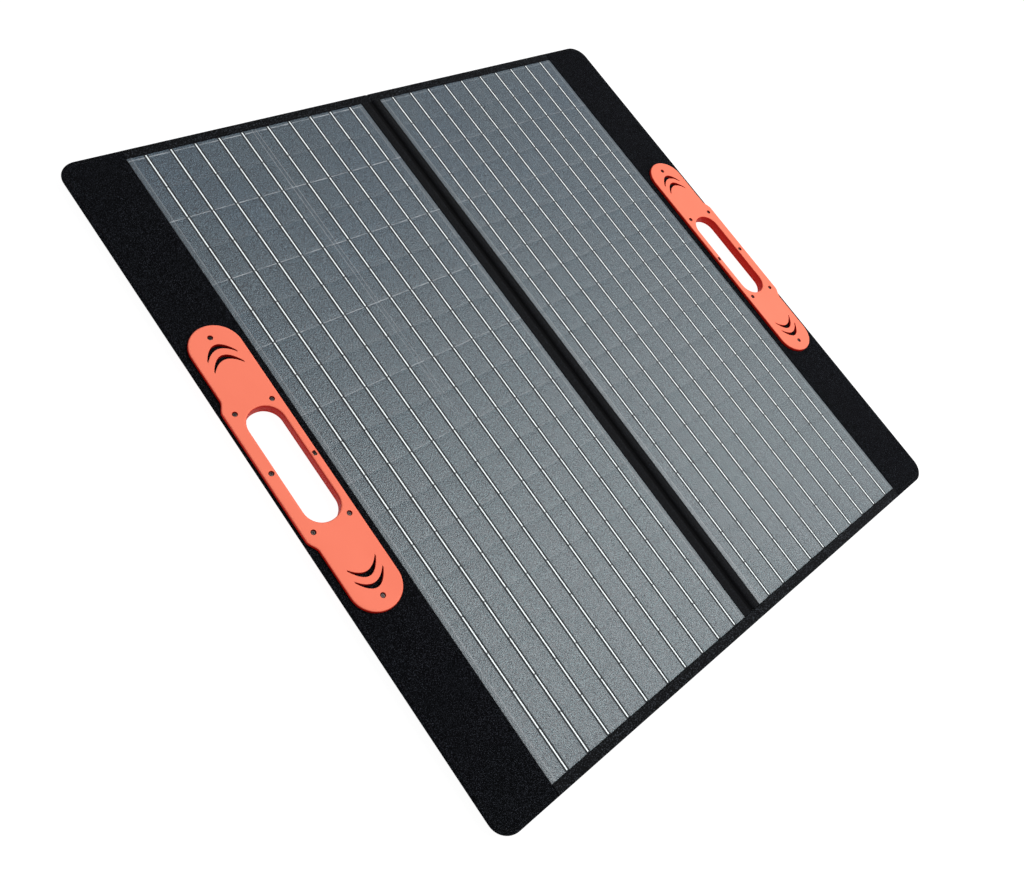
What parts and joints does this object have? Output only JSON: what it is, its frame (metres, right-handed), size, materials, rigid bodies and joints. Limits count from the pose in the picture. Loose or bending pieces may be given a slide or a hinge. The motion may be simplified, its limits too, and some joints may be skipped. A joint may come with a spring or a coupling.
{
  "type": "folding solar panel",
  "caption": "Briefcase-style folding solar panel with fabric edges, a soft centre fold, plastic carry handles and fold-out kickstands.",
  "frame": {"origin": "under the middle of the opened panel, on the surface that the stowed kickstands rest on", "axes": "+Z out of the cell faces, +Y along the fold line, +X across to the half that holds the lead pocket"},
  "size_m": [0.8404, 0.8466, 0.0201],
  "materials": {
    "flap_fabric": "matte coated oxford cloth",
    "border_binding": "coarse-grained coated binding",
    "stand_fabric": "padded oxford cloth over board",
    "webbing": "woven webbing",
    "hook_and_loop": "hook and loop pile",
    "handle_plastic": "satin moulded coral",
    "front_film": "fine embossed matte film",
    "solar_cells": "dark silicon with silver ribbons",
    "backsheet": "smooth",
    "stiffener_board": "plain sheet",
    "bus_copper": "bare strip",
    "screw_steel": "dark plated",
    "zip_plastic": "moulded teeth on tape",
    "slider_metal": "dark lacquered",
    "box_plastic": "fine spark texture"
  },
  "bodies": {
    "right_half": {"junction_box_base": "box_plastic", "junction_box_lid": "box_plastic", "output_gland": "box_plastic", "pocket_pouch": "flap_fabric", "pocket_zip": "zip_plastic", "right_back_cover": "flap_fabric", "right_backsheet": "backsheet", "right_border_bottom": "border_binding", "right_border_top": "border_binding", "right_bus_lead": "bus_copper", "right_cell_string_inner": "solar_cells", "right_cell_string_outer": "solar_cells", "right_front_film": "front_film", "right_handle_back": "handle_plastic", "right_handle_front": "handle_plastic", "right_handle_screw_1": "screw_steel", "right_handle_screw_2": "screw_steel", "right_handle_screw_3": "screw_steel", "right_handle_screw_4": "screw_steel", "right_handle_screw_5": "screw_steel", "right_handle_screw_6": "screw_steel", "right_handle_screw_7": "screw_steel", "right_handle_screw_8": "screw_steel", "right_hook_patch": "hook_and_loop", "right_side_flap": "flap_fabric", "right_spine_back": "flap_fabric", "right_spine_front": "flap_fabric", "right_stand_hinge_tape": "webbing", "right_stand_strap": "webbing", "right_stiffener_board": "stiffener_board"},
    "left_half": {"left_back_cover": "flap_fabric", "left_backsheet": "backsheet", "left_border_bottom": "border_binding", "left_border_top": "border_binding", "left_bus_lead": "bus_copper", "left_cell_string_inner": "solar_cells", "left_cell_string_outer": "solar_cells", "left_front_film": "front_film", "left_handle_back": "handle_plastic", "left_handle_front": "handle_plastic", "left_handle_screw_1": "screw_steel", "left_handle_screw_2": "screw_steel", "left_handle_screw_3": "screw_steel", "left_handle_screw_4": "screw_steel", "left_handle_screw_5": "screw_steel", "left_handle_screw_6": "screw_steel", "left_handle_screw_7": "screw_steel", "left_handle_screw_8": "screw_steel", "left_hook_patch": "hook_and_loop", "left_side_flap": "flap_fabric", "left_spine_back": "flap_fabric", "left_spine_front": "flap_fabric", "left_stand_hinge_tape": "webbing", "left_stand_strap": "webbing", "left_stiffener_board": "stiffener_board"},
    "right_stand": {"right_loop_patch": "hook_and_loop", "right_stand_board": "stand_fabric"},
    "left_stand": {"left_loop_patch": "hook_and_loop", "left_stand_board": "stand_fabric"},
    "zip_slider": {"zip_slider": "slider_metal"}
  },
  "joints": [
    {"name": "fold", "type": "hinge", "parent": "right_half", "child": "left_half", "pos_m": [0, 0, 0.0203], "axis": [0, 1, 0], "range_deg": [0, 179.9]},
    {"name": "right_kickstand", "type": "hinge", "parent": "right_half", "child": "right_stand", "pos_m": [0.1795, 0.1306, 0.0102], "axis": [1, 0, 0], "range_deg": [0, 60]},
    {"name": "left_kickstand", "type": "hinge", "parent": "left_half", "child": "left_stand", "pos_m": [-0.1795, 0.1306, 0.0102], "axis": [1, 0, 0], "range_deg": [0, 60]},
    {"name": "zip_slide", "type": "slide", "parent": "right_half", "child": "zip_slider", "axis": [1, 0, 0], "range_m": [0, 0.172]}
  ]
}
